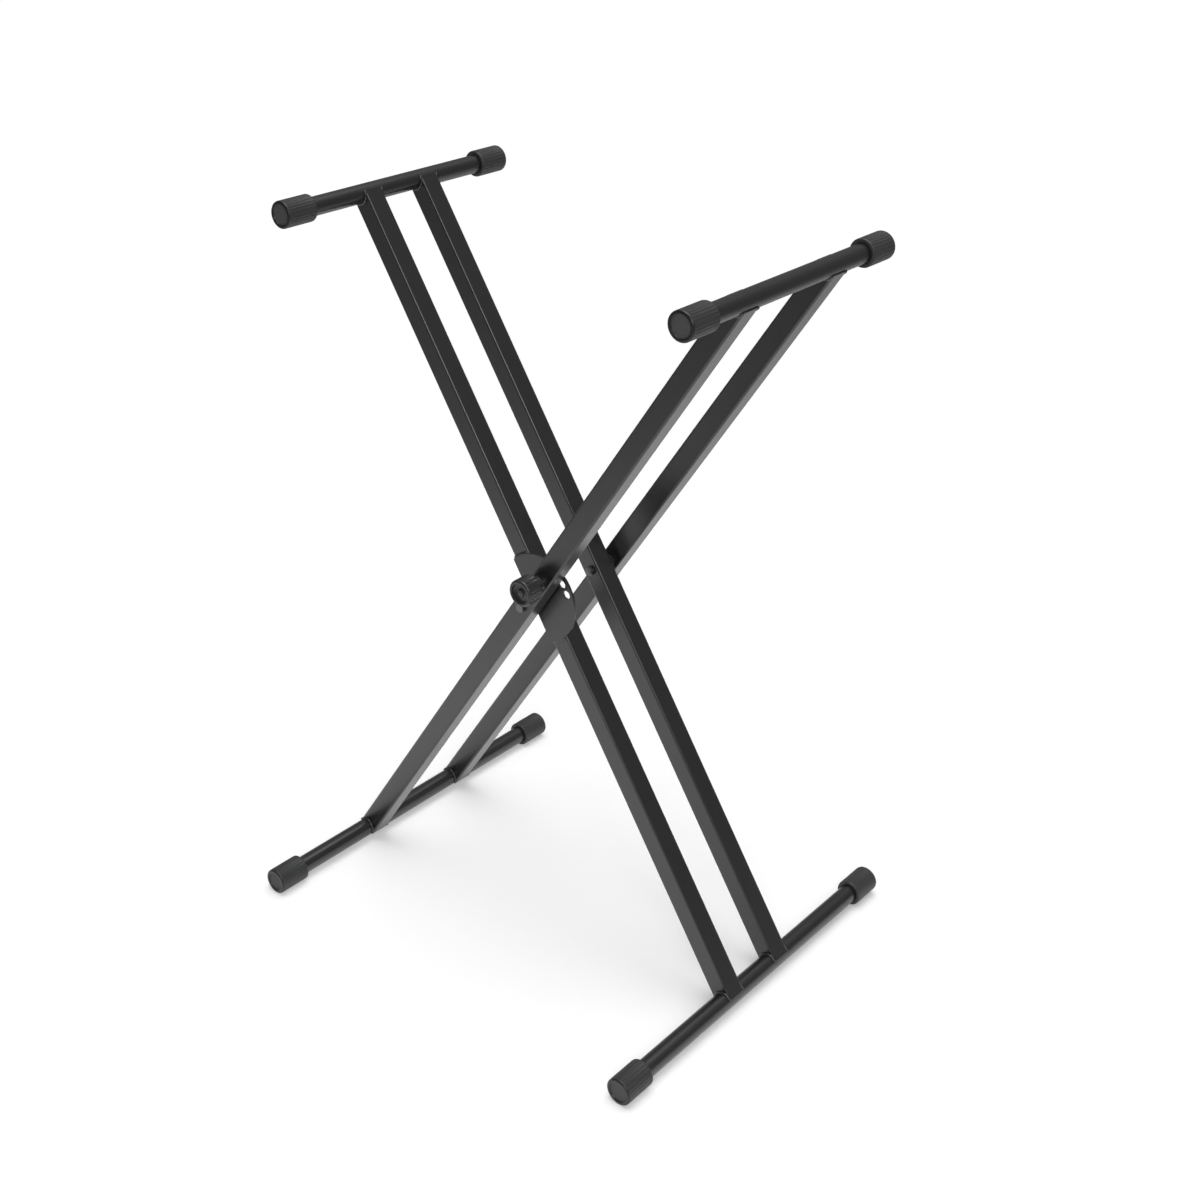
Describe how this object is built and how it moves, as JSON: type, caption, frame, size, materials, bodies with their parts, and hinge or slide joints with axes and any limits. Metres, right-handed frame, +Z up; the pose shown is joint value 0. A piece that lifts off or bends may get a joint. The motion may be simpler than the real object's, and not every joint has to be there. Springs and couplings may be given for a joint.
{
  "type": "keyboard stand",
  "caption": "Folding double-braced X stand for a keyboard: square tube legs, round bars with ribbed end caps, and a spring latch on a half-moon lock plate.",
  "frame": {"origin": "on the floor, under the middle of the stand as it stands open in the picture", "axes": "+X across the X of the legs, towards the outer frame's top bar; +Y from the latch side to the rear, along the bars; +Z up"},
  "size_m": [0.5804, 0.486, 0.8671],
  "materials": {
    "black_powder_coat": "satin black powder coat",
    "black_cap_plastic": "matt, finely grained",
    "black_knob_plastic": "satin",
    "black_nylon": "smooth",
    "black_oxide_steel": "blackened",
    "zinc_steel": "dull zinc plating",
    "spring_steel": "drawn wire"
  },
  "bodies": {
    "outer_frame": {"outer_front_arm": "black_powder_coat", "outer_rear_arm": "black_powder_coat", "outer_top_bar": "black_powder_coat", "outer_top_front_cap": "black_cap_plastic", "outer_top_rear_cap": "black_cap_plastic", "outer_foot_bar": "black_powder_coat", "outer_foot_front_cap": "black_cap_plastic", "outer_foot_rear_cap": "black_cap_plastic", "front_pivot_bolt": "black_oxide_steel", "rear_pivot_bolt": "black_oxide_steel", "front_pivot_nut": "black_oxide_steel", "rear_pivot_nut": "black_oxide_steel", "front_pivot_spacer": "black_nylon", "rear_pivot_spacer": "black_nylon", "latch_housing": "black_oxide_steel", "latch_spring": "spring_steel"},
    "inner_frame": {"inner_front_arm": "black_powder_coat", "inner_rear_arm": "black_powder_coat", "inner_top_bar": "black_powder_coat", "inner_top_front_cap": "black_cap_plastic", "inner_top_rear_cap": "black_cap_plastic", "inner_foot_bar": "black_powder_coat", "inner_foot_front_cap": "black_cap_plastic", "inner_foot_rear_cap": "black_cap_plastic", "lock_plate": "black_powder_coat"},
    "latch": {"latch_pin": "zinc_steel", "latch_knob": "black_knob_plastic"}
  },
  "joints": [
    {"name": "fold", "type": "hinge", "parent": "outer_frame", "child": "inner_frame", "pos_m": [0, 0, 0.43365], "axis": [0, 1, 0], "range_deg": [-33, 62.9]},
    {"name": "latch_slide", "type": "slide", "parent": "outer_frame", "child": "latch", "axis": [0, -1, 0], "range_m": [-0.003, 0.006], "stiffness_N_per_m": 800, "deforming": ["latch_spring"]}
  ]
}
